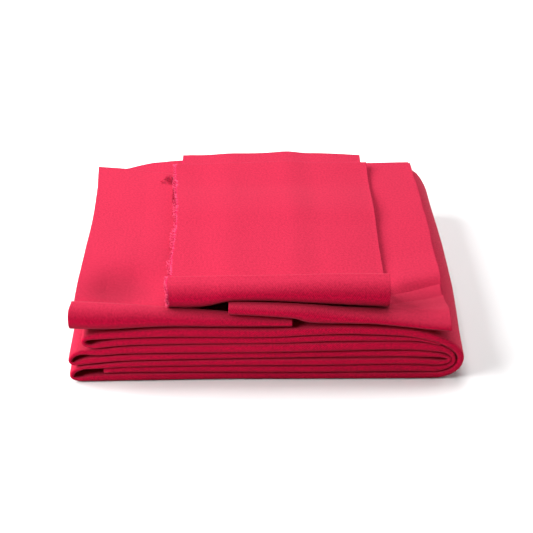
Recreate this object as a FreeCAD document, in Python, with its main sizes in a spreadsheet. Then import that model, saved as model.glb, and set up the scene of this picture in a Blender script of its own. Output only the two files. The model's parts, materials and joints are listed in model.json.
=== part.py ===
import FreeCAD, Part
import os
import math
import Sketcher

# A long length of twill, folded into a flat pile, with three smaller folded panels lying on it.
# Millimetres. +Z up, the folds face -Y, +X to the right, origin under the middle of the pile.

SIZES = {
    # the long length: seven layers of one strip, each layer six plies of cloth
    "pile_width": 300.0,        # over the outer folds, along X
    "pile_front": -116.5,       # the long length's front edge
    "pile_depth": 229.0,        # the strip's own width: 1372 mm cloth folded to six plies
    "layer_pitch": 7.45,        # from one layer to the next, upwards
    "layer_thick": 7.0,         # six plies of cloth and the air between them
    "top_loop_inset": 11.5,     # the uppermost left loop stands this far back from the others
    "free_end_inset": 8.0,      # the strip's first end, inside the lowest left loop
    "last_end_inset": 3.0,      # the strip's last end, short of the outer right wrap
    # all three panels: under ply, springy roll at the front fold, upper ply
    "cloth_thick": 0.6,
    "rest_gap": 0.3,            # between pieces that lie on each other
    "ply_rise": 1.9,            # from under a folded panel to its top, where it lies flat
    "roll_lift": 2.0,           # how far a roll stands over the roll below it
    # lower panel
    "lower_left": -146.5,
    "lower_pressed": -35.0,     # from here on the panels above press its roll down
    "lower_right": 19.0,
    "lower_roll": 10.5,         # radius of its roll where it is free
    "lower_roll_pressed": 4.0,
    "lower_roll_end": 4.0,
    "lower_back": 116.0,        # back edge of its under ply
    "lower_flap_back": 104.0,   # back edge of its upper ply
    # middle panel
    "middle_left": -29.0,
    "middle_bend": 22.0,        # where it starts down from the lower panel to the pile
    "middle_down": 62.0,        # where it has come down on the pile
    "middle_right": 135.5,
    "middle_front": -120.0,
    "middle_foot": -98.0,       # where its under ply has come down behind the roll below
    "middle_roll": 4.5,
    "middle_roll_end": 6.0,
    "middle_back": 118.0,
    "middle_flap_back": 115.0,
    # top panel
    "top_left": -73.5,
    "top_width": 164.5,
    "top_front": -113.0,
    "top_foot": -66.0,
    "top_roll": 12.0,
    "top_roll_lift": 2.5,       # bottom of its roll over the top of the lower panel's roll
    "top_back": 120.0,
    "top_flap_back": 105.0,
    # loose yarns beside the frayed edge
    "yarn_half_width": 3.5,
    "yarn_half_length": 17.0,
    "yarn_half_height": 1.2,
    "yarn_from_back": 29.0,     # from the upper ply's back edge to the middle of the tangle
}

doc = FreeCAD.newDocument("FoldedCloth")
sheet = doc.addObject("Spreadsheet::Sheet", "Sizes")
for row, (alias, value) in enumerate(SIZES.items(), start=1):
    sheet.set(f"A{row}", alias)
    sheet.set(f"B{row}", str(value))
    sheet.setAlias(f"B{row}", alias)
doc.recompute()


class Sum:
    """A length added up from shares of the sheet's sizes: its value now, and its expression."""

    def __init__(self, **shares):
        self.shares = shares

    def plus(self, other, times=1.0):
        names = list(self.shares) + [name for name in other.shares if name not in self.shares]
        return Sum(**{name: self.shares.get(name, 0) + times * other.shares.get(name, 0)
                      for name in names})

    def value(self):
        return sum(share * sheet.get(name) for name, share in self.shares.items())

    def text(self):
        return " + ".join(f"({share}) * Sizes.{name}" for name, share in self.shares.items())


def new_body(label):
    body = doc.addObject("PartDesign::Body", label)
    body.Label = label
    return body


def new_sketch(body, name, role, offset=None):
    """A sketch on one of the body's own origin planes, moved along the plane's normal."""
    sketch = body.newObject("Sketcher::SketchObject", name)
    plane = next(f for f in body.Origin.OriginFeatures if f.Role == role)
    sketch.AttachmentSupport = [(plane, "")]
    sketch.MapMode = "FlatFace"
    if offset is not None:
        sketch.setExpression("AttachmentOffset.Base.z", offset.text())
    return sketch


def pin(sketch, geometry, point, across, up=None):
    """Hold a point of the sketch at its distances from the origin, bound to the sheet."""
    wanted = [("DistanceX", across)] + ([("DistanceY", up)] if up else [])
    for kind, length in wanted:
        held = Sketcher.Constraint(kind, -1, 1, geometry, point, length.value())
        index = sketch.addConstraint(held)
        sketch.setExpression(f"Constraints[{index}]", length.text())


def draw(sketch, corners, arcs, closed=True):
    """Straight edges from corner to corner. An edge named in arcs is round instead: its value
    is the place of its centre across the sketch, and whether it turns anticlockwise."""
    count = len(corners)
    edges = count if closed else count - 1
    ends = []
    for i in range(edges):
        x1, z1 = (c.value() for c in corners[i])
        x2, z2 = (c.value() for c in corners[(i + 1) % count])
        if i in arcs:
            centre_x = arcs[i][0].value()
            centre_z = ((x1 - centre_x) ** 2 - (x2 - centre_x) ** 2 + z1 ** 2 - z2 ** 2) / (2 * (z1 - z2))
            circle = Part.Circle(FreeCAD.Vector(centre_x, centre_z, 0), FreeCAD.Vector(0, 0, 1),
                                 math.hypot(x1 - centre_x, z1 - centre_z))
            from_angle = math.atan2(z1 - centre_z, x1 - centre_x)
            to_angle = math.atan2(z2 - centre_z, x2 - centre_x)
            if arcs[i][1]:
                edge = Part.ArcOfCircle(circle, from_angle, to_angle)
                ends.append((1, 2))
            else:
                edge = Part.ArcOfCircle(circle, to_angle, from_angle)
                ends.append((2, 1))
        else:
            edge = Part.LineSegment(FreeCAD.Vector(x1, z1, 0), FreeCAD.Vector(x2, z2, 0))
            ends.append((1, 2))
        sketch.addGeometry(edge, False)
    for i in range(edges):
        after = (i + 1) % count
        if closed or after < edges:
            sketch.addConstraint(Sketcher.Constraint("Coincident", i, ends[i][1], after, ends[after][0]))
        pin(sketch, i, ends[i][0], *corners[i])
        if i in arcs:
            pin(sketch, i, 3, arcs[i][0])
    if not closed:
        pin(sketch, edges - 1, ends[-1][1], *corners[-1])


def level(layer):
    """Height of a layer's middle, counted from the bottom one."""
    return Sum(layer_thick=0.5, layer_pitch=layer)


def build_main_length():
    """One strip, folded to and fro in seven layers: a rectangle carried along the folds."""
    left, right = Sum(pile_width=-0.5), Sum(pile_width=0.5)
    outer_wrap = right.plus(Sum(layer_pitch=-3, layer_thick=-0.5))
    small_loop = left.plus(Sum(layer_pitch=0.5, layer_thick=0.5))
    low_loop = left.plus(Sum(layer_pitch=1, layer_thick=0.5))
    top_loop = small_loop.plus(Sum(top_loop_inset=1))
    first_end = low_loop.plus(Sum(free_end_inset=1))
    last_end = outer_wrap.plus(Sum(last_end_inset=-1))
    path = [
        (first_end, level(1)), (outer_wrap, level(1)),      # inside the lowest loop, to the right
        (outer_wrap, level(4)), (small_loop, level(4)),     # round the core, back to the left
        (small_loop, level(3)), (outer_wrap, level(3)),     # the core's fold
        (outer_wrap, level(2)), (low_loop, level(2)),
        (low_loop, level(0)), (outer_wrap, level(0)),       # the bottom layer
        (outer_wrap, level(6)), (top_loop, level(6)),       # round the whole pile to the top layer
        (top_loop, level(5)), (last_end, level(5)),
    ]
    rounds = {1: (outer_wrap, True), 3: (small_loop, True), 5: (outer_wrap, False),
              7: (low_loop, True), 9: (outer_wrap, True), 11: (top_loop, True)}
    body = new_body("main_length")
    spine = new_sketch(body, "FoldPath", "XZ_Plane")
    draw(spine, path, rounds, closed=False)
    section = new_sketch(body, "StripSection", "YZ_Plane", offset=first_end)
    front, back = Sum(pile_front=1), Sum(pile_front=1, pile_depth=1)
    low, high = (level(1).plus(Sum(layer_thick=half)) for half in (-0.5, 0.5))
    draw(section, [(front, low), (back, low), (back, high), (front, high)], {})
    doc.recompute()
    strip = body.newObject("PartDesign::AdditivePipe", "Strip")
    strip.Profile = section
    strip.Spine = (spine, [f"Edge{i + 1}" for i in range(len(path) - 1)])
    spine.Visibility = False
    return body


PILE_TOP = Sum(layer_thick=1, layer_pitch=6)
PILE_FRONT = Sum(pile_front=1)

ROLL_END = math.radians(50)     # past its crest a roll runs on to here, then the ply goes down
ROLL_COS, ROLL_SIN = math.cos(ROLL_END), math.sin(ROLL_END)
ROLL_FALL = ROLL_SIN / ROLL_COS
CORNER_SHIFT = math.tan((math.pi / 2 - ROLL_END) / 2)


def upper_ply(centre_y, centre_z, radius, flat_top, back):
    """Corners of the upper ply's outer side from the roll's end, then of its inner side."""
    end_y, end_z = centre_y.plus(radius, ROLL_COS), centre_z.plus(radius, ROLL_SIN)
    foot_y = end_y.plus(end_z, ROLL_FALL).plus(flat_top, -ROLL_FALL)
    inner = radius.plus(Sum(cloth_thick=-1))
    under_top = flat_top.plus(Sum(cloth_thick=-1))
    return [(end_y, end_z), (foot_y, flat_top), (back, flat_top), (back, under_top),
            (foot_y.plus(Sum(cloth_thick=-CORNER_SHIFT)), under_top),
            (centre_y.plus(inner, ROLL_COS), centre_z.plus(inner, ROLL_SIN))]


def draw_folded_sheet(sketch, front, radius, roll_base, foot, flat_base, back, flap_back):
    """Section of a sheet folded once, along Y. The under ply comes forward and up to the roll
    at the front fold; the upper ply goes down behind the roll and back over the under ply."""
    centre_y, centre_z = front.plus(radius), roll_base.plus(radius)
    thick = Sum(cloth_thick=1)
    corners = [(back, flat_base), (foot, flat_base), (centre_y, roll_base)]
    corners += upper_ply(centre_y, centre_z, radius, flat_base.plus(Sum(ply_rise=1)), flap_back)
    corners += [(centre_y, roll_base.plus(thick)), (foot, flat_base.plus(thick)),
                (back, flat_base.plus(thick))]
    draw(sketch, corners, {2: (centre_y, False), 8: (centre_y, True)})


def loft(body, name, sketches):
    """Straight loft through the sections, in order along X."""
    sheet_solid = body.newObject("PartDesign::AdditiveLoft", name)
    sheet_solid.Profile = sketches[0]
    sheet_solid.Sections = sketches[1:]
    sheet_solid.Ruled = True


LOWER_BASE = PILE_TOP.plus(Sum(rest_gap=1))
LOWER_ROLL_TOP = LOWER_BASE.plus(Sum(lower_roll_pressed=2))


def build_lower_panel():
    """Folded once, fold to the front; its roll is pressed flatter where the others lie on it."""
    body = new_body("lower_panel")
    stations = [(Sum(lower_left=1), Sum(lower_roll=1)),
                (Sum(lower_pressed=1), Sum(lower_roll_pressed=1)),
                (Sum(lower_right=1), Sum(lower_roll_end=1))]
    sketches = []
    for i, (across, radius) in enumerate(stations):
        sketches.append(new_sketch(body, f"LowerFold{i}", "YZ_Plane", offset=across))
        draw_folded_sheet(sketches[-1], PILE_FRONT, radius, LOWER_BASE, Sum(middle_foot=1),
                          LOWER_BASE, Sum(lower_back=1), Sum(lower_flap_back=1))
    doc.recompute()
    loft(body, "LowerCloth", sketches)
    return body


MIDDLE_BASE = LOWER_BASE.plus(Sum(ply_rise=1, rest_gap=1))


def build_middle_panel():
    """Folded once, fold to the front; its left end lies on the lower panel, the rest comes
    down over that panel's edge to the pile."""
    body = new_body("middle_panel")
    raised = (LOWER_ROLL_TOP.plus(Sum(roll_lift=1)), MIDDLE_BASE, Sum(middle_roll=1))
    lying = (LOWER_BASE, LOWER_BASE, Sum(middle_roll_end=1))
    stations = [(Sum(middle_left=1), raised), (Sum(middle_bend=1), raised),
                (Sum(middle_down=1), lying), (Sum(middle_right=1), lying)]
    sketches = []
    for i, (across, (roll_base, flat_base, radius)) in enumerate(stations):
        sketches.append(new_sketch(body, f"MiddleFold{i}", "YZ_Plane", offset=across))
        draw_folded_sheet(sketches[-1], Sum(middle_front=1), radius, roll_base,
                          Sum(middle_foot=1), flat_base, Sum(middle_back=1),
                          Sum(middle_flap_back=1))
    doc.recompute()
    loft(body, "MiddleCloth", sketches)
    return body


TOP_BASE = MIDDLE_BASE.plus(Sum(ply_rise=1, rest_gap=1))
TOP_FLAT = TOP_BASE.plus(Sum(ply_rise=1))
TOP_ROLL_BASE = LOWER_ROLL_TOP.plus(Sum(roll_lift=1, top_roll_lift=1))
HINGE_Y = Sum(top_front=1, top_roll=1)
HINGE_Z = TOP_ROLL_BASE.plus(Sum(top_roll=1))


def pad_across_top(body, sketch, name):
    pad = body.newObject("PartDesign::Pad", name)
    pad.Profile = sketch
    pad.setExpression("Length", "Sizes.top_width")


def build_top_panel():
    """The top panel's under ply and the lower quarter of its round front fold."""
    body = new_body("top_panel")
    sketch = new_sketch(body, "UnderPly", "YZ_Plane", offset=Sum(top_left=1))
    thick = Sum(cloth_thick=1)
    foot, back, nose = Sum(top_foot=1), Sum(top_back=1), Sum(top_front=1)
    corners = [(back, TOP_BASE), (foot, TOP_BASE), (HINGE_Y, TOP_ROLL_BASE), (nose, HINGE_Z),
               (nose.plus(thick), HINGE_Z), (HINGE_Y, TOP_ROLL_BASE.plus(thick)),
               (foot, TOP_BASE.plus(thick)), (back, TOP_BASE.plus(thick))]
    draw(sketch, corners, {2: (HINGE_Y, False), 4: (HINGE_Y, True)})
    doc.recompute()
    pad_across_top(body, sketch, "UnderCloth")
    return body


def build_top_panel_flap():
    """The upper ply and the upper part of the fold, which turns inside the lower quarter."""
    body = new_body("top_panel_flap")
    sketch = new_sketch(body, "UpperPly", "YZ_Plane", offset=Sum(top_left=1))
    radius = Sum(top_roll=1, cloth_thick=-1, rest_gap=-1)
    nose = HINGE_Y.plus(radius, -1)
    corners = [(nose, HINGE_Z)]
    corners += upper_ply(HINGE_Y, HINGE_Z, radius, TOP_FLAT, Sum(top_flap_back=1))
    corners += [(nose.plus(Sum(cloth_thick=1)), HINGE_Z)]
    draw(sketch, corners, {0: (HINGE_Y, False), 6: (HINGE_Y, True)})
    doc.recompute()
    pad_across_top(body, sketch, "UpperCloth")
    return body


def build_loose_yarns():
    """Yarns that have come loose from the upper ply's frayed left edge: a flat tangle."""
    tangle = doc.addObject("Part::Ellipsoid", "loose_yarns")
    tangle.Label = "loose_yarns"
    side = Sum(top_left=1, yarn_half_width=-1, rest_gap=-1)
    away = Sum(top_flap_back=1, yarn_from_back=-1)
    height = TOP_FLAT.plus(Sum(yarn_half_height=-1))
    tangle.setExpression("Radius1", "Sizes.yarn_half_height")
    tangle.setExpression("Radius2", "Sizes.yarn_half_width")
    tangle.setExpression("Radius3", "Sizes.yarn_half_length")
    for axis, place in zip("xyz", (side, away, height)):
        tangle.setExpression(f"Placement.Base.{axis}", place.text())
    return tangle


pieces = [build_main_length(), build_lower_panel(), build_middle_panel(), build_top_panel(),
          build_top_panel_flap(), build_loose_yarns()]
doc.recompute()

for item in doc.Objects:
    if "Invalid" in item.State or "Error" in item.State:
        raise RuntimeError(f"{item.Name} did not compute: {item.State}")
for piece in pieces:
    if piece.Shape.isNull() or not piece.Shape.isValid() or len(piece.Shape.Solids) != 1:
        raise RuntimeError(f"{piece.Label} is not one valid solid")

os.makedirs("parts", exist_ok=True)
for piece in pieces:
    piece.Shape.exportStep(f"parts/{piece.Label}.step")
    box = piece.Shape.BoundBox
    print(f"{piece.Label}: x {box.XMin:.1f}..{box.XMax:.1f}, y {box.YMin:.1f}..{box.YMax:.1f}, "
          f"z {box.ZMin:.1f}..{box.ZMax:.1f}, {piece.Shape.Volume / 1000:.1f} cm3")
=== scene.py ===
import json
import math
import bpy
import numpy as np
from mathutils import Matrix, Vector


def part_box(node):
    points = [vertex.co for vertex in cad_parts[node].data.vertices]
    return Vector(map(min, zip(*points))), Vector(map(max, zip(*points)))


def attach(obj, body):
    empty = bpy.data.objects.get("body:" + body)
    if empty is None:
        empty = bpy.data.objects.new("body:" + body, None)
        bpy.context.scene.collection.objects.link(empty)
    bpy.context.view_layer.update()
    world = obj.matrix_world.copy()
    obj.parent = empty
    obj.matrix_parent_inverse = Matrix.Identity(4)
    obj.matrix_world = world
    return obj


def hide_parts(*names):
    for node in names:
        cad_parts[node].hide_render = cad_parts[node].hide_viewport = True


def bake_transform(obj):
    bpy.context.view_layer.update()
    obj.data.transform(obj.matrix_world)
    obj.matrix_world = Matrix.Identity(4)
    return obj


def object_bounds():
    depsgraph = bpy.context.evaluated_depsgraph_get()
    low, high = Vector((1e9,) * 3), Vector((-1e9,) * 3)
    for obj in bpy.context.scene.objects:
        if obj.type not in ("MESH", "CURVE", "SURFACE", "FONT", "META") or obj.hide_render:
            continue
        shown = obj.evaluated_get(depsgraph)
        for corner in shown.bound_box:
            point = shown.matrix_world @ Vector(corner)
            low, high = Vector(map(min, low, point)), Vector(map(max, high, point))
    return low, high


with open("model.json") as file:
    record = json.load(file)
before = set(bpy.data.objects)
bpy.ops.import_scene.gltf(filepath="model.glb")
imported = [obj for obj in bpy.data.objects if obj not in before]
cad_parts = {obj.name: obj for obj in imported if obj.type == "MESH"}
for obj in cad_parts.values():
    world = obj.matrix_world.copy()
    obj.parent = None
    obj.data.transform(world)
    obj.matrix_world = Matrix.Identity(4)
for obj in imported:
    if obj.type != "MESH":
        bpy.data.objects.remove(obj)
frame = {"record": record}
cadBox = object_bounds()
mm = 0.001
fullTurn = 2 * math.pi
scene = bpy.context.scene

# sizes below are in millimetres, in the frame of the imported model, and heights are over the floor
pileLow, pileHigh = (np.array(corner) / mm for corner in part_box("main_length"))
joints = frame["record"]["behaviour"]["joints"]
hingeY = next(joint for joint in joints if joint["name"] == "top_panel_open")["pos_m"][1] / mm


def ease(low, high, x):
    # 0 up to low, 1 from high on, and 3t^2 - 2t^3 between them.
    t = np.clip((np.asarray(x, float) - low) / (high - low), 0, 1)
    return t * t * (3 - 2 * t)


def hump(middle, width, x):
    # A bell: e to the power of minus the square of x's distance from its middle over its width.
    return np.exp(-((np.asarray(x, float) - middle) / width) ** 2)


def smoothThrough(points, steps):
    # Catmull-Rom curve through the points on axis 0, each span cut into equal steps. For the
    # neighbours a, b, c, d it is half of
    # 2b + (c - a) t + (2a - 5b + 4c - d) t^2 + (3b - a - 3c + d) t^3.
    p = np.concatenate([2 * points[:1] - points[1:2], points, 2 * points[-1:] - points[-2:-1]])
    t = (np.arange(steps) / steps).reshape((1, steps) + (1,) * (points.ndim - 1))
    a, b, c, d = (p[i:len(p) - 3 + i][:, None] for i in range(4))
    spans = 0.5 * (2 * b + (c - a) * t + (2 * a - 5 * b + 4 * c - d) * t ** 2
                   + (3 * b - a - 3 * c + d) * t ** 3)
    return np.concatenate([spans.reshape((-1,) + points.shape[1:]), points[-1:]])


def alongLength(path):
    # Distance from the path's start to each of its points, on axis 0.
    steps = np.linalg.norm(np.diff(path, axis=0), axis=-1)
    return np.concatenate([np.zeros((1,) + steps.shape[1:]), np.cumsum(steps, axis=0)])


def respaced(path, where, count):
    # The path's columns read again at evenly spaced places along where.
    places = np.linspace(where[0], where[-1], count)
    return np.stack([np.interp(places, where, column) for column in path.T], axis=-1)


def waves(x, y, seed, longest, size):
    # A gentle random unevenness: the sum of six sine waves, each shorter and lower than the one
    # before, with seeded directions and phases.
    source = np.random.default_rng(seed)
    total = np.zeros(np.broadcast(x, y).shape)
    for i in range(6):
        turn, phase = source.uniform(0, fullTurn, 2)
        length = longest / (1 + 0.55 * i)
        along = x * math.cos(turn) + y * math.sin(turn)
        total += np.sin(along * fullTurn / length + phase) / (i + 2)
    return total * size


def gridNormals(points):
    # Unit normals of a grid of points: the cross product of its two central differences.
    normals = np.cross(np.gradient(points, axis=0), np.gradient(points, axis=1))
    return normals / np.maximum(np.linalg.norm(normals, axis=-1, keepdims=True), 1e-9)


def clothMesh(name, points, thickness, flat, fray=None, normals=None, paintedShade=None):
    # A closed thin shell about a grid of points: each point goes half a thickness both ways
    # along the normal, and the four borders are closed. flat holds each point's place on the
    # unfolded cloth, in mm, which becomes the UV map; fray is 1 at a frayed edge, and the painted
    # shade value is how much darker the colour is painted there.
    rows, columns = points.shape[:2]
    half = (gridNormals(points) if normals is None else normals) * (thickness / 2)
    vertices = np.concatenate([(points + half).reshape(-1, 3), (points - half).reshape(-1, 3)])
    index = np.arange(rows * columns).reshape(rows, columns)
    quads = np.stack([index[:-1, :-1], index[1:, :-1], index[1:, 1:], index[:-1, 1:]], -1)
    quads = quads.reshape(-1, 4)
    under = rows * columns
    border = np.concatenate([index[:-1, 0], index[-1, :-1], index[:0:-1, -1], index[0, :0:-1]])
    after = np.roll(border, -1)
    rim = np.stack([border, border + under, after + under, after], -1)
    faces = np.concatenate([quads, quads[:, ::-1] + under, rim])
    mesh = bpy.data.meshes.new(name)
    mesh.vertices.add(len(vertices))
    mesh.vertices.foreach_set("co", (vertices * mm).astype(np.float32).ravel())
    mesh.loops.add(faces.size)
    mesh.loops.foreach_set("vertex_index", faces.astype(np.int32).ravel())
    mesh.polygons.add(len(faces))
    mesh.polygons.foreach_set("loop_start", np.arange(0, faces.size, 4, dtype=np.int32))
    mesh.polygons.foreach_set("use_smooth", np.ones(len(faces), bool))
    mesh.update(calc_edges=True)
    uv = mesh.uv_layers.new(name="cloth")
    place = np.tile((flat * mm).reshape(-1, 2), (2, 1))
    uv.data.foreach_set("uv", place[faces.ravel()].astype(np.float32).ravel())
    # the fray attribute marks raw edges; the other attribute holds the painted shade, how much
    # darker the colour is painted
    for kind, values in (("fray", fray), ("paintedShade", paintedShade)):
        layer = mesh.attributes.new(kind, "FLOAT", "POINT")
        amount = np.zeros(rows * columns) if values is None else values.ravel()
        layer.data.foreach_set("value", np.tile(amount, 2).astype(np.float32))
    mesh.validate()
    piece = bpy.data.objects.new(name, mesh)
    scene.collection.objects.link(piece)
    return piece


def yarnMesh(name, paths, radii, sides=5):
    # Round yarns as one mesh. paths is yarns by points by 3. Each point carries a ring: its two
    # side directions times the cosine and sine of evenly spaced turns, times the radius. Both
    # ends are closed with a flat cap.
    count, steps = paths.shape[:2]
    along = np.gradient(paths, axis=1)
    along /= np.maximum(np.linalg.norm(along, axis=-1, keepdims=True), 1e-9)
    side = np.cross(along, np.array([0.13, 0.21, 0.97]))
    side /= np.maximum(np.linalg.norm(side, axis=-1, keepdims=True), 1e-9)
    other = np.cross(along, side)
    turn = np.arange(sides) * fullTurn / sides
    ring = (side[:, :, None] * np.cos(turn)[:, None] + other[:, :, None] * np.sin(turn)[:, None])
    vertices = paths[:, :, None] + ring * np.asarray(radii)[:, :, None, None]
    index = np.arange(count * steps * sides).reshape(count, steps, sides)
    after = np.roll(index, -1, axis=2)
    walls = np.stack([index[:, :-1], after[:, :-1], after[:, 1:], index[:, 1:]], -1).reshape(-1, 4)
    caps = np.concatenate([index[:, 0, ::-1], index[:, -1]])
    mesh = bpy.data.meshes.new(name)
    mesh.from_pydata((vertices.reshape(-1, 3) * mm).tolist(), [], walls.tolist() + caps.tolist())
    mesh.polygons.foreach_set("use_smooth", np.ones(len(mesh.polygons), bool))
    uv = mesh.uv_layers.new(name="cloth")
    uv.data.foreach_set("uv", np.zeros(2 * len(mesh.loops), np.float32))
    piece = bpy.data.objects.new(name, mesh)
    scene.collection.objects.link(piece)
    return piece


def addNode(tree, kind, **settings):
    # A new node with its properties set.
    node = tree.nodes.new(kind)
    for name, value in settings.items():
        setattr(node, name, value)
    return node


def maths(tree, operation, first, second=None):
    # One Math node; a number is set on its socket, and a socket is joined to it.
    node = addNode(tree, "ShaderNodeMath", operation=operation)
    for socket, value in zip(node.inputs, (first, second)):
        if value is None:
            continue
        if isinstance(value, (int, float)):
            socket.default_value = value
        else:
            tree.links.new(value, socket)
    return node.outputs[0]


def noise(tree, place, scale, detail):
    # A flat noise at a place; its scale is a number or a socket.
    node = addNode(tree, "ShaderNodeTexNoise", noise_dimensions="2D")
    node.inputs["Detail"].default_value = detail
    tree.links.new(place, node.inputs["Vector"])
    if isinstance(scale, float):
        node.inputs["Scale"].default_value = scale
    else:
        tree.links.new(scale, node.inputs["Scale"])
    return node.outputs["Fac"]


def mapped(tree, value, fromRange, toRange, kind="LINEAR"):
    # A value carried from one range to another and held at both ends.
    node = addNode(tree, "ShaderNodeMapRange", interpolation_type=kind)
    for name, number in zip(("From Min", "From Max", "To Min", "To Max"), (*fromRange, *toRange)):
        node.inputs[name].default_value = number
    tree.links.new(value, node.inputs["Value"])
    return node.outputs["Result"]


def mixed(tree, share, first, second):
    # Two colours mixed by a share; a tuple is set on its socket, and a socket is joined to it.
    node = addNode(tree, "ShaderNodeMix", data_type="RGBA")
    for name, value in (("Factor", share), ("A", first), ("B", second)):
        if isinstance(value, tuple):
            node.inputs[name].default_value = (*value, 1)
        else:
            tree.links.new(value, node.inputs[name])
    return node.outputs["Result"]


def ramp(tree, factor, stops):
    # A colour read from stops, each a place from 0 to 1 and a colour.
    node = addNode(tree, "ShaderNodeValToRGB")
    for bar, (at, colour) in zip(node.color_ramp.elements, stops):
        bar.position = at
        bar.color = (*colour, 1)
    tree.links.new(factor, node.inputs["Fac"])
    return node.outputs["Color"]


weave = {
    "ribPitch": 0.0012, "floatPitch": 0.00055, "mottleSize": 0.002,     # metres
    "lean": (0.83, 0.56),       # the ribs' direction, across and along
    "drift": 0.0009, "driftScale": 160.0,
    "ribShare": 0.65,           # of the height; the floats have the rest
    "fuzzShare": 0.65, "fuzzScale": 620.0,      # of the shade; the height has the rest
}


def makeTwillGroup():
    # Twill on the cloth's own UV in metres. A rib is a sine wave on one diagonal, whose place
    # drifts with a slow noise. A float is a finer sine wave on the other diagonal, shifted by half
    # of the rib's turn. Height is the sum of both by their shares, Shade is height and fine noise
    # by theirs, and Mottle is a noise of its own size.
    group = bpy.data.node_groups.new("twillWeave", "ShaderNodeTree")
    face = group.interface
    face.new_socket("Place", in_out="INPUT", socket_type="NodeSocketVector")
    for name, value in (("Rib pitch", weave["ribPitch"]), ("Float pitch", weave["floatPitch"]),
                        ("Mottle size", weave["mottleSize"])):
        socket = face.new_socket(name, in_out="INPUT", socket_type="NodeSocketFloat")
        socket.default_value = value
    for name in ("Height", "Shade", "Mottle"):
        face.new_socket(name, in_out="OUTPUT", socket_type="NodeSocketFloat")
    inside = addNode(group, "NodeGroupInput")
    outside = addNode(group, "NodeGroupOutput")
    place = inside.outputs["Place"]

    def times(first, second):
        # first times second
        return maths(group, "MULTIPLY", first, second)

    def plus(first, second):
        # first plus second
        return maths(group, "ADD", first, second)

    def turns(way, pitch):
        # a distance over a pitch, in radians
        return times(maths(group, "DIVIDE", way, inside.outputs[pitch]), fullTurn)

    def wave(turn):
        # a sine from 0 to 1
        return times(plus(maths(group, "SINE", turn), 1.0), 0.5)

    axes = addNode(group, "ShaderNodeSeparateXYZ")
    group.links.new(place, axes.inputs[0])
    across, along = axes.outputs["X"], axes.outputs["Y"]
    slow = noise(group, place, weave["driftScale"], 2.0)
    wander = times(maths(group, "SUBTRACT", slow, 0.5), weave["drift"])
    wide, long = weave["lean"]
    diagonal = plus(plus(times(across, wide), times(along, long)), wander)
    counter = maths(group, "SUBTRACT", times(across, long), times(along, wide))
    ribTurn = turns(diagonal, "Rib pitch")
    floatTurn = plus(turns(counter, "Float pitch"), times(ribTurn, 0.5))
    height = plus(times(wave(ribTurn), weave["ribShare"]),
                  times(wave(floatTurn), 1 - weave["ribShare"]))
    fuzz = noise(group, place, weave["fuzzScale"], 2.0)
    shade = plus(times(height, 1 - weave["fuzzShare"]), times(fuzz, weave["fuzzShare"]))
    mottle = noise(group, place, maths(group, "DIVIDE", 1.0, inside.outputs["Mottle size"]), 4.0)
    for name, value in (("Height", height), ("Shade", shade), ("Mottle", mottle)):
        group.links.new(value, outside.inputs[name])
    return group


twillWeave = makeTwillGroup()


crimson = {
    "dark": (0.41, 0.0007, 0.030), "light": (0.65, 0.0011, 0.045), "toneStops": (0.43, 0.54),
    # paler colours painted on faces that look up, a painted sheen, and where they sit on the tone
    "paintedSheenDark": (0.46, 0.021, 0.056), "paintedSheenLight": (0.54, 0.029, 0.070), "paintedSheenStops": (0.40, 0.56),
    "paintedSheenTurn": (0.22, 0.98), "paintedSheenShare": 0.78,          # the normal's height, and the most painted sheen
    "paintedUnderShadeTurn": (-0.6, 0.06), "paintedUnderShade": 0.38,      # the same for the painted shade on faces that look down, and its darkest factor
    "frayed": (0.58, 0.010, 0.075), "shadeShare": 0.8,
    "roughness": 0.85, "specular": 0.05, "bump": 0.5, "bumpDepth": 0.00012,
    "sheen": 0.10, "sheenRoughness": 0.5, "sheenTint": (1.0, 0.55, 0.65),
}


def newMaterial(name):
    # A material with its tree and its Principled BSDF.
    material = bpy.data.materials.new(name)
    material.use_nodes = True
    return material, material.node_tree, material.node_tree.nodes["Principled BSDF"]


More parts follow.
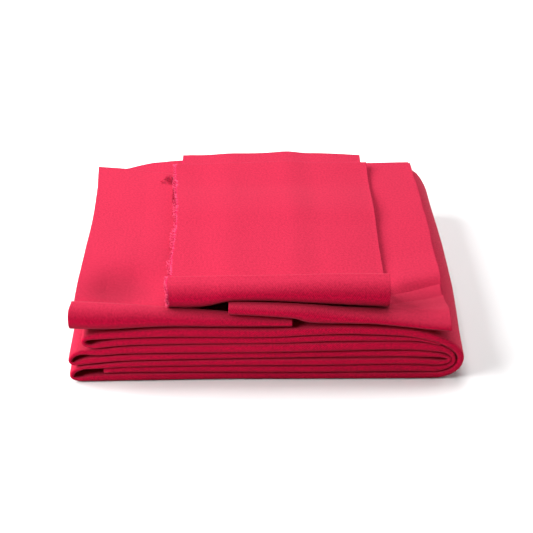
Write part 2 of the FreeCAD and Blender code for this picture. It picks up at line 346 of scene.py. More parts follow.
def makeCloth(name, look):
    # Dyed twill. Its tone, weave shade and mottle by their shares, picks a colour from dark to
    # light. By the object's own normal, faces that look up are painted a paler colour, a
    # painted sheen, and faces that look down are painted darker, a painted shade. A painted shade
    # attribute darkens the colour in patches, and fray mixes in the colour of raw ends.
    material, tree, shader = newMaterial(name)
    place = addNode(tree, "ShaderNodeUVMap", uv_map="cloth")
    weft = addNode(tree, "ShaderNodeGroup", node_tree=twillWeave)
    tree.links.new(place.outputs["UV"], weft.inputs["Place"])
    tone = maths(tree, "ADD", maths(tree, "MULTIPLY", weft.outputs["Shade"], look["shadeShare"]),
                 maths(tree, "MULTIPLY", weft.outputs["Mottle"], 1 - look["shadeShare"]))
    dyed = ramp(tree, tone, zip(look["toneStops"], (look["dark"], look["light"])))
    # painted sheen: a paler colour painted on faces that look up
    paintedSheen = ramp(tree, tone, zip(look["paintedSheenStops"], (look["paintedSheenDark"], look["paintedSheenLight"])))
    turned = addNode(tree, "ShaderNodeTexCoord")
    axes = addNode(tree, "ShaderNodeSeparateXYZ")
    tree.links.new(turned.outputs["Normal"], axes.inputs[0])
    facing = axes.outputs["Z"]
    base = mixed(tree, mapped(tree, facing, look["paintedSheenTurn"], (0.0, look["paintedSheenShare"])), dyed, paintedSheen)
    # painted shade: faces that look down are painted darker
    pressAndPaintedShade = mapped(tree, facing, look["paintedUnderShadeTurn"], (look["paintedUnderShade"], 1.0))
    # painted shade in patches, read from the mesh's painted shade attribute
    paintedShade = addNode(tree, "ShaderNodeAttribute", attribute_name="paintedShade")
    shade = maths(tree, "MULTIPLY", pressAndPaintedShade, maths(tree, "SUBTRACT", 1.0, paintedShade.outputs["Fac"]))
    paintedShadeBase = addNode(tree, "ShaderNodeVectorMath", operation="SCALE")
    tree.links.new(base, paintedShadeBase.inputs[0])
    tree.links.new(shade, paintedShadeBase.inputs["Scale"])
    fray = addNode(tree, "ShaderNodeAttribute", attribute_name="fray")
    tree.links.new(mixed(tree, fray.outputs["Fac"], paintedShadeBase.outputs[0], look["frayed"]),
                   shader.inputs["Base Color"])
    bump = addNode(tree, "ShaderNodeBump")
    bump.inputs["Strength"].default_value = look["bump"]
    bump.inputs["Distance"].default_value = look["bumpDepth"]
    tree.links.new(weft.outputs["Height"], bump.inputs["Height"])
    tree.links.new(bump.outputs["Normal"], shader.inputs["Normal"])
    shader.inputs["Roughness"].default_value = look["roughness"]
    shader.inputs["Specular IOR Level"].default_value = look["specular"]
    shader.inputs["Sheen Weight"].default_value = look["sheen"]
    shader.inputs["Sheen Roughness"].default_value = look["sheenRoughness"]
    shader.inputs["Sheen Tint"].default_value = (*look["sheenTint"], 1)
    return material


yarnLook = {"noiseScale": 700.0, "stops": (0.42, 0.58), "roughness": 0.8, "specular": 0.2,
            "sheen": 0.08}


def makeYarn(name, dark, light):
    # Loose yarn: a noise on Object coordinates picks a colour from dark to light.
    material, tree, shader = newMaterial(name)
    place = addNode(tree, "ShaderNodeTexCoord")
    grain = addNode(tree, "ShaderNodeTexNoise")
    grain.inputs["Scale"].default_value = yarnLook["noiseScale"]
    tree.links.new(place.outputs["Object"], grain.inputs["Vector"])
    tree.links.new(ramp(tree, grain.outputs["Fac"], zip(yarnLook["stops"], (dark, light))),
                   shader.inputs["Base Color"])
    shader.inputs["Roughness"].default_value = yarnLook["roughness"]
    shader.inputs["Specular IOR Level"].default_value = yarnLook["specular"]
    shader.inputs["Sheen Weight"].default_value = yarnLook["sheen"]
    return material


twill = makeCloth("crimsonTwill", crimson)
# the fringe's yarn is much paler than the cloth: partly the pale look of loose fibre ends, partly a
# painted highlight
fringeYarn = makeYarn("fringeYarn", (0.66, 0.010, 0.080), (0.96, 0.10, 0.23))
# the loose yarns are painted darker than the cloth they come from, a painted shade
tangleYarn = makeYarn("tangleYarn", (0.28, 0.001, 0.024), (0.62, 0.004, 0.055))
print("materials made")


pile = {
    # the strip's way from its first end to its last, seen from the front: across, height, thickness
    "way": [
        (-124, 10.0, 5.4), (-104, 10.6, 6.4), (-60, 10.6, 6.9), (0, 10.5, 7.0), (60, 10.5, 7.6),
        (100, 10.5, 8.0), (119, 9.9, 7.4), (130, 9.6, 6.6), (137.0, 11.4, 5.2), (141.4, 14.8, 4.3),
        (142.2, 19.0, 3.7), (140.2, 23.8, 4.6), (135.6, 27.5, 6.2), (128, 29.8, 7.6),
        (116, 31.7, 8.6), (95, 32.8, 8.6), (50, 32.7, 8.6), (0, 31.6, 8.4), (-60, 30.9, 8.2),
        (-103, 30.2, 7.8), (-122, 28.7, 7.3), (-131, 28.3, 6.8), (-138.5, 28.7, 5.2),
        (-144.4, 26.6, 4.4), (-148.0, 22.6, 3.5), (-148.4, 19.2, 3.0), (-145.2, 17.6, 4.2),
        (-138.5, 19.3, 6.4), (-131, 20.6, 7.2), (-119, 21.7, 6.5), (-100, 22.9, 6.4),
        (-50, 23.6, 6.2), (0, 24.1, 6.2), (60, 24.5, 6.5), (104, 24.7, 6.7), (120, 24.0, 6.2),
        (129, 23.3, 5.0), (134.6, 22.3, 4.2), (138.2, 20.9, 3.5), (138.8, 18.6, 3.4),
        (136.0, 16.4, 4.4), (129, 16.1, 6.0), (118, 17.2, 6.4), (95, 18.0, 6.5), (0, 17.5, 6.7),
        (-60, 17.1, 6.2), (-103, 16.7, 5.6), (-121, 15.3, 5.0), (-131, 14.6, 4.3),
        (-139, 13.8, 3.8), (-145, 11.4, 4.0), (-148.4, 7.4, 3.8), (-147.6, 3.9, 3.5),
        (-142.5, 2.6, 4.6), (-134, 3.2, 6.2), (-118, 3.6, 7.0), (-60, 3.6, 7.0), (0, 3.5, 6.8),
        (60, 3.3, 6.6), (104, 3.2, 6.3), (124, 3.3, 6.3), (134, 4.0, 6.2), (141.2, 7.0, 5.7),
        (145.8, 11.8, 5.4), (147.5, 17.0, 5.2), (147.2, 22.0, 5.6), (144.0, 27.6, 6.2),
        (138.0, 33.4, 6.8), (129, 38.3, 7.3), (117, 42.4, 7.6), (100, 45.4, 7.6), (60, 47.7, 7.6),
        (30, 46.9, 7.8), (0, 45.5, 7.6), (-40, 46.3, 8.2), (-75, 46.9, 8.2), (-103, 45.8, 7.6),
        (-121, 44.6, 7.4), (-130, 43.4, 6.2), (-135.2, 41.8, 4.4), (-137.3, 38.8, 3.2),
        (-135.4, 35.7, 3.6), (-130, 34.1, 4.4), (-121, 36.0, 6.6), (-103, 38.0, 7.4),
        (-60, 38.5, 7.4), (0, 38.7, 6.6), (50, 40.4, 6.6), (98, 39.4, 4.8), (114, 38.2, 3.6),
        (124, 35.7, 3.0), (131, 33.4, 2.2),
    ],
    "clothThickness": 0.5,
    "gap": 0.35,                # open height between two layers' fronts
    "noseDepth": 3.1,           # how far each layer's rounded front edge reaches
    "noseBluntness": 4.0,       # 2 is round, more is squarer
    "forward": 1.2,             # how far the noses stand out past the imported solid
    "backInset": 1.0,           # how far the back edges stay inside it
    "rightForward": 0.9,        # how much farther forward the right half lies
    "outerShort": 0.8,          # how much shorter the outermost plies are at the back
    "frontWaves": ((0.5, 97.0, 0.0), (0.35, 41.0, 1.3)),    # size, length and start of each
    "backWaves": ((0.8, 83.0, 2.0), (0.5, 29.0, 0.0)),
    "backPress": 0.05,          # how much thinner each layer is behind its front
    "cornerLift": 8.5,          # how much squarer the right upper corner is at the back
    "rightSwell": 3.6,          # how much farther the right side reaches behind the front
    "backSwell": 0.03,          # how much taller the whole pile is behind its front
    "stationsAlong": 330,
    "bendCrowding": 14,         # how much closer the stations stand where the way bends
    "plies": [(1.0, -1.0, 1.0), (-0.6, 0.6, 0.62), (0.2, -0.2, 0.26)],  # out, back, nose's share
    "flat": (1372, 2030),
}


def stripSection():
    # The six plies of the strip's section as one line: out along a ply to the front, round a
    # superellipse to the ply it folds on to, back, up a small half circle and out again, three
    # times. Returns each point's ply height (-1 to 1), depth (0 front to 1 back) and nose reach.
    height, depth, reach = [], [], []
    run = np.linspace(0, 1, 9)[1:-1]
    turn = np.linspace(math.pi / 2, -math.pi / 2, 11)
    small = np.linspace(0, math.pi, 7)
    blunt = 2 / pile["noseBluntness"]
    nose = np.sign(np.sin(turn)) * np.abs(np.sin(turn)) ** blunt
    for i, (start, end, size) in enumerate(pile["plies"]):
        height += [start] * len(run) + list(start * nose) + [end] * len(run)
        depth += list(1 - run) + [0.0] * len(turn) + list(run)
        reach += [0.0] * len(run) + list(-size * np.cos(turn) ** blunt) + [0.0] * len(run)
        if i < len(pile["plies"]) - 1:
            after = pile["plies"][i + 1][0]
            height += list((end + after) / 2 + (end - after) / 2 * np.cos(small))
            depth += [1.0] * len(small)
            reach += list(0.25 * np.sin(small))
    return np.array(height), np.array(depth), np.array(reach)


def backSwell(depth):
    # How much taller the pile stands behind its front: 1 plus the swell, eased in over the depth.
    return 1 + pile["backSwell"] * ease(0.05, 0.6, depth)


def stripLine():
    # The strip's middle line, its thickness, its distance from the start and its side direction,
    # at stations that crowd where it bends: each step's pace is its length times 1 plus the
    # crowding times the bend, which is the turn of the line's angle over its length.
    way = smoothThrough(np.array(pile["way"], float), 10)
    where = alongLength(way[:, :2])
    rise, run = np.gradient(way[:, :2], axis=0).T[::-1]
    tiny = 1e-9 * np.arange(len(where))
    bend = np.gradient(np.unwrap(np.arctan2(rise, run)), where + tiny)
    steps = np.diff(where) * (1 + pile["bendCrowding"] * np.abs(bend[1:]))
    pace = np.concatenate([[0], np.cumsum(steps)])
    line = respaced(np.column_stack([way, where]), pace, pile["stationsAlong"])
    middle, thick, where = line[:, :2], line[:, 2], line[:, 3]
    ahead = np.gradient(middle, axis=0)
    ahead /= np.linalg.norm(ahead, axis=1, keepdims=True)
    return middle, thick, where, np.column_stack([-ahead[:, 1], ahead[:, 0]])


def wavyLine(start, waveList, where):
    # A place along Y that sways with the distance along the strip: a sum of sines.
    (size, length, phase), (size2, length2, phase2) = waveList
    return (start + size * np.sin(where / length + phase)
            + size2 * np.sin(where / length2 + phase2))


def makeMainLength():
    # The strip: its section is carried along the way, standing at right angles to it. A point is
    # the middle line plus the side direction times its ply's height, which is half of the layer's
    # thickness, and its Y runs from the front line to the back line with its depth.
    middle, thick, where, side = stripLine()
    height, depth, reach = stripSection()
    front = pileLow[1] + pile["noseDepth"] - pile["forward"]
    frontLine = wavyLine(front - pile["rightForward"] * ease(-60, 40, middle[:, 0]),
                         pile["frontWaves"], where)
    backLine = wavyLine(pileHigh[1] - pile["backInset"], pile["backWaves"], where)
    short = np.where(np.abs(height) > 0.9, 1.0, 0.0)[None] * pile["outerShort"]
    y = (frontLine[:, None] + (backLine - frontLine)[:, None] * depth + reach * pile["noseDepth"]
         - short * depth)
    pressAndPaintedShade = 1 - pile["backPress"] * np.minimum(depth * 6, 1) * (0.6 + 0.4 * depth)
    offset = height * (thick[:, None] - pile["clothThickness"] - pile["gap"]) / 2 * pressAndPaintedShade
    x = middle[:, :1] + side[:, :1] * offset
    z = (middle[:, 1:] + side[:, 1:] * offset) * backSwell(depth)
    swell = ease(0, 0.4, depth) - 0.8 * ease(0.55, 1, depth)
    x = x + pile["rightSwell"] * ease(100, 147, x) * swell
    z = z + pile["cornerLift"] * hump(136, 17, x) * ease(0.1, 0.9, depth) * ease(18, 44, z)
    points = np.stack([x, y, z], -1)
    along = np.broadcast_to(where[:, None], y.shape) * pile["flat"][1] / where[-1]
    across = alongLength(np.moveaxis(points, 1, 0))[:, len(where) // 2]
    across = np.broadcast_to(across[None] * pile["flat"][0] / across[-1], y.shape)
    piece = clothMesh("mainLength", points, pile["clothThickness"], np.stack([across, along], -1))
    print("main length:", len(piece.data.polygons), "faces, way", round(where[-1]), "mm")
    return piece


mainLength = makeMainLength()
mainLength.data.materials.append(twill)
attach(mainLength, "main_length")
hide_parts("main_length")


def pileTop(x, y):
    # Top of the uppermost layer: its middle line plus half its thickness, kept level past the
    # left end, so that a panel reaching past the layer's fold does not drop with it.
    start = next(i for i, row in enumerate(pile["way"]) if row[0] == 129 and row[1] > 35)
    layer = np.array(pile["way"][start:start + 9][::-1], float)
    fine = smoothThrough(layer, 6)
    front = np.interp(x, fine[:, 0], fine[:, 1] + fine[:, 2] / 2)
    return front * backSwell((y - pileLow[1]) / (pileHigh[1] - pileLow[1]))


def rollAt(table, x):
    # Each column of a table of stations (the first is X) read at x along a smooth curve.
    curve = smoothThrough(np.array(table, float), 10)
    return [np.interp(x, curve[:, 0], column) for column in curve.T[1:]]


def readTable(table, x):
    # A value read from a table of places and values, on straight lines between them.
    places, values = zip(*table)
    return np.interp(x, places, values)


foldSteps = {
    "under": (0, 0.02, 0.12, 0.24, 0.36, 0.48, 0.6, 0.72, 0.84, 0.94, 1),     # shares, back to foot
    "roll": (270, 240, 210, 180, 150, 120, 90, 62),                         # degrees round it
    "upper": (0.035, 0.09, 0.17, 0.26, 0.36, 0.47, 0.58, 0.69, 0.8, 0.9, 0.98, 1),
}


def foldedGrid(x, roll, backs, under, upper, edges, steps=4):
    # A once-folded cloth as a grid. For each place across, a smooth curve runs forward along the
    # under ply, up round the front roll (an ellipse) and down its rear on to the upper ply, then
    # back. roll holds nose, bottom, top, half depth and foot; under and upper give the plies'
    # heights at (x, y); edges gives the X of both side edges at a given distance along.
    nose, bottom, top, half, foot = roll
    middleY, middleZ, tall = nose + half, (bottom + top) / 2, (top - bottom) / 2
    points = []
    for share in foldSteps["under"]:
        y = backs[0] + (foot - backs[0]) * share
        points.append((y, under(x, y)))
    y = foot + (middleY - foot) * 0.5
    points.append((y, under(x, y) * 0.45 + bottom * 0.55))
    rollStart = len(points)
    for degrees in foldSteps["roll"]:
        turn = math.radians(degrees)
        points.append((middleY + half * math.cos(turn), middleZ + tall * math.sin(turn)))
    shoulderY, shoulderZ = points[-1]
    landing = upper(x, foot)
    points.append((shoulderY + (foot - shoulderY) * 0.5, shoulderZ * 0.42 + landing * 0.58))
    points.append((foot, landing))
    for share in foldSteps["upper"]:
        y = foot + (backs[1] - foot) * share
        points.append((y, upper(x, y)))
    section = np.array([np.stack(np.broadcast_arrays(*p), -1) for p in points], float)
    curve = np.moveaxis(smoothThrough(section, steps), 0, 1)
    along = alongLength(np.moveaxis(curve, 1, 0)).T
    share = (x - x[0]) / (x[-1] - x[0])
    left, right = edges(curve[..., 0], np.arange(curve.shape[1]) >= rollStart * steps)
    place = left + (right - left) * share[:, None]
    grid = np.concatenate([place[..., None], curve], -1)
    return grid, along, rollStart * steps


def flatPlaces(grid, along, width, length):
    # Each grid point's place on the unfolded cloth: its share across and its share along.
    share = (grid[:, :1, 0] - grid[0, 0, 0]) / (grid[-1, 0, 0] - grid[0, 0, 0])
    return np.stack(np.broadcast_arrays(share * width, along / along[:, -1:] * length), -1)


def stationsAcross(low, high, count):
    # Places across with a closer spacing at both ends: a share of t - sin(2 pi t) / 9.
    t = np.linspace(0, 1, count)
    return low + (high - low) * (t - np.sin(fullTurn * t) / 9)


def frayMask(grid, sides):
    # How frayed each grid point is: sides gives rows or columns and the amount on each, in order.
    mask = np.zeros(grid.shape[:2])
    for part, amount in sides:
        mask[part] = amount
    return mask


firstRow, lastRow = np.s_[:1], np.s_[-1:]               # the left and right side edges
firstColumn, lastColumn = np.s_[:, :1], np.s_[:, -1:]   # the under and upper plies' back edges


leastGap = 0.15         # between a panel's plies, where they are pressed together


lowerPanel = {
    # x, then nose, bottom, top, half depth and foot of the front roll
    "roll": [(-147, -121.5, 50.0, 70.2, 10.0, -89), (-119.5, -121.0, 48.9, 68.3, 9.6, -90),
             (-96, -119.5, 49.7, 66.5, 8.1, -94), (-73, -118.5, 50.3, 64.6, 7.0, -97),
             (-41, -118.0, 49.9, 62.0, 6.0, -101), (-19, -117.5, 49.8, 59.8, 5.1, -104),
             (19, -118.0, 50.8, 56.9, 4.3, -107)],
    "across": (-146.6, 19, 110),        # first and last place, and how many
    "upperBack": [(-147, 112.8), (-114, 107.3), (-81, 96.4), (19, 60)],     # x and y
    "left": -146.4, "right": 18.6,
    "leftBow": [(-122, 0), (-88, 0.2), (-60, 0.9), (-33, 1.8), (0, 2.6), (40, 2.8), (80, 1.4),
                (113, -0.8)],           # y, and how far the edge bows in
    "clothThickness": 0.55, "flat": (166, 470),
    "gap": 0.5, "puff": 1.0,            # air under it, and between its plies
    # the last value is the strength of a painted shade patch behind the roll at the left
    "dip": 4.6, "rise": 4.2, "ridge": 2.0, "paintedShade": 0.26,
}


def makeLowerPanel():
    # Under ply: the pile's top plus a gap. Upper ply: that plus puff and rise less a dip behind
    # the roll, never under the least gap, plus a low ridge at the left. Each is its height times
    # bells and eased steps in X and Y.
    look = lowerPanel
    x = stationsAcross(*look["across"])
    roll = rollAt(look["roll"], x)
    underBack = 111 + 10.5 * ease(-132, -95, x) + 2.5 * ease(-95, -70, x) + 0.4 * np.sin(x / 9)
    backs = (underBack, readTable(look["upperBack"], x))

    def under(x, y):
        # the under ply's height
        return pileTop(x, y) + look["gap"] + waves(x, y, 3, 120, 0.25)

    def upper(x, y):
        # the upper ply's height
        lift = look["puff"] * (1 + ease(-60, 60, y)) + waves(x, y, 5, 150, 0.45)
        dip = look["dip"] * hump(-70, 18, y) * ease(-152, -112, x) * (1 - ease(-106, -72, x))
        rise = look["rise"] * hump(-42, 46, y) * (1 - ease(-118, -64, x))
        ridge = look["ridge"] * hump(-134, 17, x) * hump(-66, 26, y)
        between = np.maximum(lift + rise - dip, leastGap)
        return under(x, y) + look["clothThickness"] + between + ridge

    def edges(y, isUpper):
        # the side edges' X: their tables' values plus small sines along them
        bow = readTable(look["leftBow"], y)
        bow = bow - 1.8 * (1 - ease(-121, -108, y)) + 2.5 * (1 - ease(-112, -92, y))
        return look["left"] + bow + 0.12 * np.sin(y / 9), look["right"] + 0.5 * np.sin(y / 23)

    grid, along, _ = foldedGrid(x, roll, backs, under, upper, edges)
    flat = flatPlaces(grid, along, *look["flat"])
    fray = frayMask(grid, ((firstRow, 0.15), (np.s_[:, :2], 0.8), (lastColumn, 0.2)))
    # painted shade: a soft dark patch painted on behind the roll at the left
    paintedShadePatch = look["paintedShade"] * hump(-117, 27, grid[..., 0]) * hump(-74, 22, grid[..., 1])
    return clothMesh("lowerPanel", grid, look["clothThickness"], flat, fray, paintedShade=paintedShadePatch)


lowerPanelPiece = makeLowerPanel()
lowerPanelPiece.data.materials.append(twill)
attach(lowerPanelPiece, "lower_panel")
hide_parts("lower_panel")
print("lower panel made")


middlePanel = {
    "roll": [(-29, -117.5, 61.5, 70.7, 4.6, -96), (-5, -118.0, 60.0, 69.9, 5.0, -97),
             (19, -118.3, 57.4, 68.5, 5.5, -98), (28, -118.5, 54.2, 67.8, 5.6, -98),
             (38, -118.5, 52.6, 66.8, 5.8, -98), (60, -119.0, 52.4, 64.0, 6.6, -96),
             (80, -119.5, 51.9, 62.0, 8.0, -92), (100, -120.0, 49.6, 59.4, 10.0, -87),
             (118, -120.5, 47.0, 57.0, 12.0, -81), (138, -121.0, 44.6, 55.4, 13.5, -75)],
    "across": (-29, 137.5, 110),
    "left": -28.2,
    "right": [(-122, 137.6), (-64, 137.2), (-37, 136.6), (0, 136.6), (60, 135.2), (117, 133.0)],
    "clothThickness": 0.55, "flat": (165, 478),
    "gap": 0.4, "puff": 0.8,
    "sink": 4.5,                # how far the front right corner drops beside the pile's edge
    "creaseY": -85, "creaseLean": 0.34, "creaseFrom": 95,
    # the last value is the strength of a painted shade along the crease
    "valley": 3.2, "rise": 2.6, "paintedShade": 0.20,
}


def overLower(x, y):
    # Height of whatever lies under the middle panel: the pile's top, plus the lower panel's two
    # plies, eased out beyond their right edge.
    return pileTop(np.minimum(x, 88), y) + 0.5 + 2.2 * (1 - ease(17, 46, x))


def makeMiddlePanel():
    # Under ply: what lies below plus a gap, less the sink at the front right. Upper ply: that plus
    # puff and a rise behind the crease, never under the least gap, less the crease's valley. The
    # crease is a line across the panel, and both are bells in the distance from it.
    look = middlePanel
    x = stationsAcross(*look["across"])
    roll = rollAt(look["roll"], x)
    backs = (118 + 0.5 * np.sin(x / 17), 115.5 + 0.4 * np.sin(x / 13))

    def under(x, y):
        # the under ply's height
        sink = look["sink"] * ease(96, 137, x) * (1 - ease(-95, -60, y))
        return overLower(x, y) + look["gap"] + waves(x, y, 13, 120, 0.25) - sink

    def upper(x, y):
        # the upper ply's height
        lift = look["puff"] + waves(x, y, 15, 140, 0.4)
        behind = y - (look["creaseY"] + look["creaseLean"] * (x - look["creaseFrom"]))
        valley = look["valley"] * hump(0, 7, behind) * ease(80, 100, x)
        rise = look["rise"] * hump(20, 13, behind) * ease(84, 108, x)
        return under(x, y) + look["clothThickness"] + np.maximum(lift + rise, leastGap) - valley

    def edges(y, isUpper):
        # the side edges' X: their tables' values plus small sines along them
        wander = 0.35 * np.sin(y / 9) + 0.25 * np.sin(y / 4.1 + 1)
        right = readTable(look["right"], y) + wander * 0.6
        return look["left"] + 0.4 * np.sin(y / 21), right - 1.0 * (1 - isUpper)

    grid, along, _ = foldedGrid(x, roll, backs, under, upper, edges)
    flat = flatPlaces(grid, along, *look["flat"])
    fray = frayMask(grid, ((firstRow, 0.2), (lastRow, 0.3), (firstColumn, 0.2), (lastColumn, 0.2)))
    # painted shade: a dark strip painted along the crease at the front right
    paintedShadePatch = look["paintedShade"] * ease(88, 106, grid[..., 0]) * hump(-84, 14, grid[..., 1])
    return clothMesh("middlePanel", grid, look["clothThickness"], flat, fray, paintedShade=paintedShadePatch)


middlePanelPiece = makeMiddlePanel()
middlePanelPiece.data.materials.append(twill)
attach(middlePanelPiece, "middle_panel")
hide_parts("middle_panel")
print("middle panel made")


topPanel = {
    # as the lower panel's; its nose stands in front of the hinge line
    "roll": [(-75, hingeY - 12, 61.7, 83.2, 12.0, -80), (-56, hingeY - 12, 61.7, 83.6, 12.0, -80),
             (-44, hingeY - 12, 63.4, 83.8, 11.8, -80), (-28, hingeY - 12, 67.6, 84.6, 11.2, -80),
             (0, hingeY - 12, 67.7, 84.7, 11.0, -80), (26, hingeY - 12, 65.4, 85.1, 11.2, -80),
             (60, hingeY - 12, 62.6, 84.9, 12.0, -80), (91.4, hingeY - 12, 60.2, 84.2, 12.2, -80)],
    "across": (-75, 91.4, 120),
    "underBack": [(-75, 125.5), (25, 129.3), (91, 126.8)],
    "upperBack": [(-75, 105.2), (91, 108.2)],
    "left": [(-115, -73.0), (-85, -74.0), (-57, -74), (-26, -74), (0, -72.9), (25, -72.8),
             (65, -75.1), (105, -77.8)],
    "right": [(-115, 91.2), (-96, 91.4), (-78, 92.6), (108, 92.5)],
    "underLeft": -73.2,
    "clothThickness": 0.55, "flat": (166, 488),
    "gap": 1.5, "puff": 0.9,
    # heights of the low waves across the panel, and of its lifted back edge
    "band": 2.2, "bandHollow": 0.5, "backLift": 1.6,
}


def overMiddle(x, y):
    # Height of whatever lies under the top panel: what is under the middle panel, plus its plies,
    # which end at the left, over the lower panel's.
    return overLower(x, y) + 2.0 * ease(-60, -24, x) + 1.9 * (1 - ease(17, 46, x)) * 0.3


def makeTopPanel():
    # Under ply: what lies below plus a gap. Upper ply: that plus puff and three low waves across,
    # each a bell or an eased step in Y, never under the least gap. The under ply's right edge
    # narrows towards the back. The cloth is cut into two pieces where the roll starts.
    look = topPanel
    x = stationsAcross(*look["across"])
    roll = rollAt(look["roll"], x)
    backs = (readTable(look["underBack"], x) + 0.3 * np.sin(x / 15),
             readTable(look["upperBack"], x) + 0.3 * np.sin(x / 12))

    def under(x, y):
        # the under ply's height
        return overMiddle(x, y) + look["gap"] + waves(x, y, 23, 120, 0.2)

    def upper(x, y):
        # the upper ply's height
        lift = look["puff"] + waves(x, y, 26, 130, 0.4)
        band = (look["band"] * hump(34, 22, y) + look["backLift"] * ease(78, 108, y)
                - look["bandHollow"] * hump(66, 16, y))
        return under(x, y) + look["clothThickness"] + np.maximum(lift + band, 0.2)

    def edges(y, isUpper):
        # the side edges' X: their tables' values plus small sines along them
        left = readTable(look["left"], y) + 0.7 * (1 - ease(-113, -102, y))
        left = left + 0.3 * np.sin(y / 5.3) + 0.22 * np.sin(y / 2.3)
        right = readTable(look["right"], y) + 0.2 * np.sin(y / 17)
        narrow = (1 - isUpper) * ease(-60, 105, y)
        left = left * isUpper + (1 - isUpper) * (look["underLeft"] + 1.2 * narrow)
        return left, right - 4.6 * narrow

    grid, along, start = foldedGrid(x, roll, backs, under, upper, edges, steps=5)
    flat = flatPlaces(grid, along, *look["flat"])
    fray = frayMask(grid, ((np.s_[:2], 1.0), (lastRow, 0.2), (firstColumn, 0.2), (lastColumn, 0.6)))
    normals = gridNormals(grid)
    pieces = [clothMesh(name, grid[part], look["clothThickness"], flat[part], fray[part],
                        normals[part])
              for name, part in (("topPanelUnder", np.s_[:, :start + 1]),
                                 ("topPanelFlap", np.s_[:, start:]))]
    return pieces, grid, normals, along, start


(topUnder, topFlap), topGrid, topNormals, topAlong, topStart = makeTopPanel()
topUnder.data.materials.append(twill)
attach(topUnder, "top_panel")
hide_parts("top_panel")
topFlap.data.materials.append(twill)
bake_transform(topFlap)
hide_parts("top_panel_flap")


fringe = {
    "count": 820, "length": (1.3, 4.0), "thickness": 0.20, "steps": 6,
    "inside": 0.45,             # the share of a yarn's length that lies on the cloth
    "rollShorter": 0.4,         # how much shorter the yarns on the roll are
    "slant": 0.35, "lean": 0.75, "bow": (0.05, 0.35),   # spread forward, and spread up
    "taper": 0.35,
}


def makeFringe():
    # Loose yarn ends along the upper ply's left raw edge, from the underside of the roll to the
    # back: each starts a little inside the edge, leaves it sideways, and bends by a random
    # amount up, down, forward or back as the square of its distance out.
    look = fringe
    source = np.random.default_rng(31)
    count = look["count"]
    edge, normal = topGrid[0, topStart:], topNormals[0, topStart:]
    where = alongLength(edge)
    at = source.uniform(0, where[-1] - 0.5, count)
    base = np.stack([np.interp(at, where, column) for column in edge.T], -1)
    up = np.stack([np.interp(at, where, column) for column in normal.T], -1)
    up /= np.linalg.norm(up, axis=-1, keepdims=True)
    forward = np.cross(up, [1.0, 0, 0])
    size = source.uniform(*look["length"], count) * (0.55 + 0.45 * np.sin(at / 13) ** 2)
    size = size * (1 - look["rollShorter"] * (1 - ease(-104, -92, base[:, 1])))
    reach = np.linspace(-look["inside"], 1, look["steps"])
    lean = source.normal(0, look["lean"], count)
    bow = source.normal(*look["bow"], count)
    slant = look["slant"] * source.normal(0, 1, count)
    out = reach[None] * size[:, None]
    curve = np.clip(reach, 0, None)[None] ** 2 * size[:, None]
    paths = (base[:, None] + np.array([-1.0, 0, 0]) * out[..., None]
             + forward[:, None] * (out * slant[:, None] + curve * lean[:, None])[..., None]
             + up[:, None] * (0.12 + curve * bow[:, None])[..., None])
    thin = look["thickness"] * (1 - look["taper"] * np.clip(reach, 0, 1))
    radii = np.broadcast_to(thin, (count, look["steps"])) * source.uniform(0.8, 1.3, (count, 1))
    return yarnMesh("frayedEdge", paths, radii, 4)


frayedEdge = makeFringe()
frayedEdge.data.materials.append(fringeYarn)
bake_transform(frayedEdge)
print("frayed edge made")


tangle = {
    "strands": 9, "curls": 12, "thickness": 0.22, "steps": 44,
    "strandEnds": ((74, 90), (38, 56)),                 # the rear and front ends lie between these
    "curlMiddles": ((-88.0, -79.0), (78, 87)), "curlSize": ((0.9, 3.4), (0.9, 2.6)),
    "curlTurns": (1.0, 2.3), "curlFade": 0.55,
    "height": 57.0, "clear": 3.1,                       # over the floor, and over the pile
}


def makeTangle():
    # Loose yarns caught at the back of the frayed edge. Strands run forward along the edge and
    # wander as sums of sines. Curls are ellipses about the strands' rear ends, whose turn grows
    # and whose size fades along them. None lies lower than a set height over the pile.
    look = tangle
    source = np.random.default_rng(47)
    t = np.linspace(0, 1, look["steps"])
    paths = []
    for i in range(look["strands"]):
        start, end = (source.uniform(*ends) for ends in look["strandEnds"])
        y = start + (end - start) * t
        x = -76.6 - source.uniform(0.0, 1.6) - 1.4 * ease(70, 92, y)
        x = x + 0.8 * np.sin(t * source.uniform(7, 15) + source.uniform(0, 6))
        x = x + 0.4 * np.sin(t * 23 + i)
        z = look["height"] + 0.2 + 0.5 * np.sin(t * source.uniform(6, 12) + i)
        z = z + source.uniform(-0.3, 0.5)
        paths.append(np.stack([x, y, z], -1))
    for i in range(look["curls"]):
        middle = [source.uniform(*span) for span in look["curlMiddles"]]
        wide, long = (source.uniform(*span) for span in look["curlSize"])
        turns, phase = source.uniform(*look["curlTurns"]), source.uniform(0, 6.3)
        turn = phase + t * turns * fullTurn
        fade = 1 - look["curlFade"] * t
        x = middle[0] + wide * np.cos(turn) * fade + source.uniform(-3, 3) * (t - 0.5)
        y = middle[1] + long * np.sin(turn) * fade + source.uniform(-3, 3) * (t - 0.5)
        z = look["height"] + 0.6 * np.sin(turn * 0.7 + i) + 0.3
        paths.append(np.stack([x, y, z], -1))
    paths = np.array(paths)
    ground = pileTop(paths[..., 0], paths[..., 1]) + look["clear"]
    paths[..., 2] = np.maximum(paths[..., 2], ground)
    radii = np.full(paths.shape[:2], look["thickness"])
    return yarnMesh("looseYarns", paths, radii, 6)


looseYarns = makeTangle()
looseYarns.data.materials.append(tangleYarn)
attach(looseYarns, "top_panel_flap")
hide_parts("loose_yarns")
print("loose yarns made")


def areaLight(name, place, aim, size, power):
    # A rectangular light that faces its aim.
    lamp = bpy.data.lights.new(name, "AREA")
    lamp.shape = "RECTANGLE"
    lamp.size, lamp.size_y = size
    lamp.energy = power
    holder = bpy.data.objects.new(name, lamp)
    holder.location = place
    holder.rotation_euler = (Vector(aim) - Vector(place)).to_track_quat("-Z", "Y").to_euler()
    scene.collection.objects.link(holder)


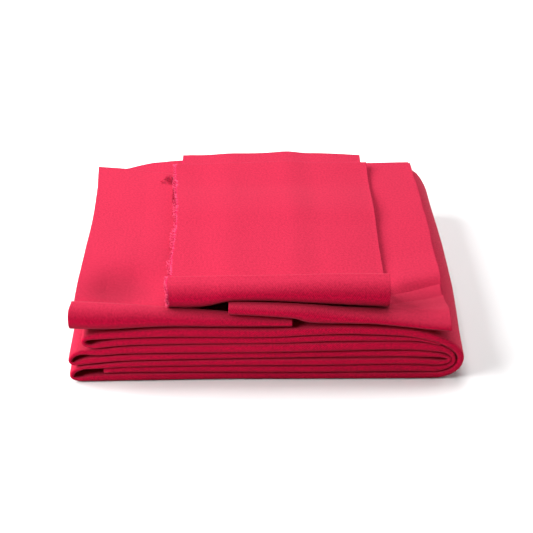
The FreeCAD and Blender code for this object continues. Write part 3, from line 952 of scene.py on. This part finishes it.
studio = {
    # each light: place, size, power
    "left": ((-1.6, -0.10, 1.2), (1.7, 1.3), 73.0),
    "right": ((1.5, 0.4, 0.8), (1.0, 1.0), 9.0),
    "top": ((0.0, 0.5, 1.6), (1.0, 1.0), 20.0),
    "aim": (0, 0, 0.04),
    "room": ((-0.3, 0.5), (0.22, 0.9)),     # how far back, and the strength at each
    "floorSize": 12, "floor": 0.97, "floorRoughness": 0.95,
}


def makeStage():
    # A pale floor, three lights, and a room that is white behind and above the pile and darker in
    # front of it: its strength is an eased step in the direction's Y.
    bpy.ops.mesh.primitive_plane_add(size=studio["floorSize"], location=(0, 0, cadBox[0].z))
    floor = bpy.context.object
    floor.name = "floor"
    paper, _, shader = newMaterial("floorPaper")
    shader.inputs["Base Color"].default_value = (studio["floor"],) * 3 + (1,)
    shader.inputs["Roughness"].default_value = studio["floorRoughness"]
    shader.inputs["Specular IOR Level"].default_value = 0.0
    floor.data.materials.append(paper)
    for name in ("left", "right", "top"):
        place, size, power = studio[name]
        areaLight(name + "Light", place, studio["aim"], size, power)
    world = bpy.data.worlds.new("studioWorld")
    world.use_nodes = True
    tree = world.node_tree
    place = addNode(tree, "ShaderNodeTexCoord")
    axes = addNode(tree, "ShaderNodeSeparateXYZ")
    tree.links.new(place.outputs["Generated"], axes.inputs[0])
    tree.links.new(mapped(tree, axes.outputs["Y"], *studio["room"], "SMOOTHSTEP"),
                   tree.nodes["Background"].inputs["Strength"])
    scene.world = world
    scene.view_settings.view_transform = "Standard"


lens = {
    "place": (-0.0102, -0.8035, 0.598), "down": 35.6, "right": 0.85,    # metres and degrees
    "focal": 79.7, "sensor": 36.0, "clip": (0.05, 50),
}


def makeCamera():
    # The camera at its place, tilted down from level and turned to the right.
    data = bpy.data.cameras.new("camera")
    data.lens, data.sensor_width = lens["focal"], lens["sensor"]
    data.clip_start, data.clip_end = lens["clip"]
    holder = bpy.data.objects.new("camera", data)
    holder.location = lens["place"]
    holder.rotation_euler = (math.radians(90 - lens["down"]), 0, math.radians(-lens["right"]))
    scene.collection.objects.link(holder)
    scene.camera = holder


makeStage()
makeCamera()
print("stage and camera set")
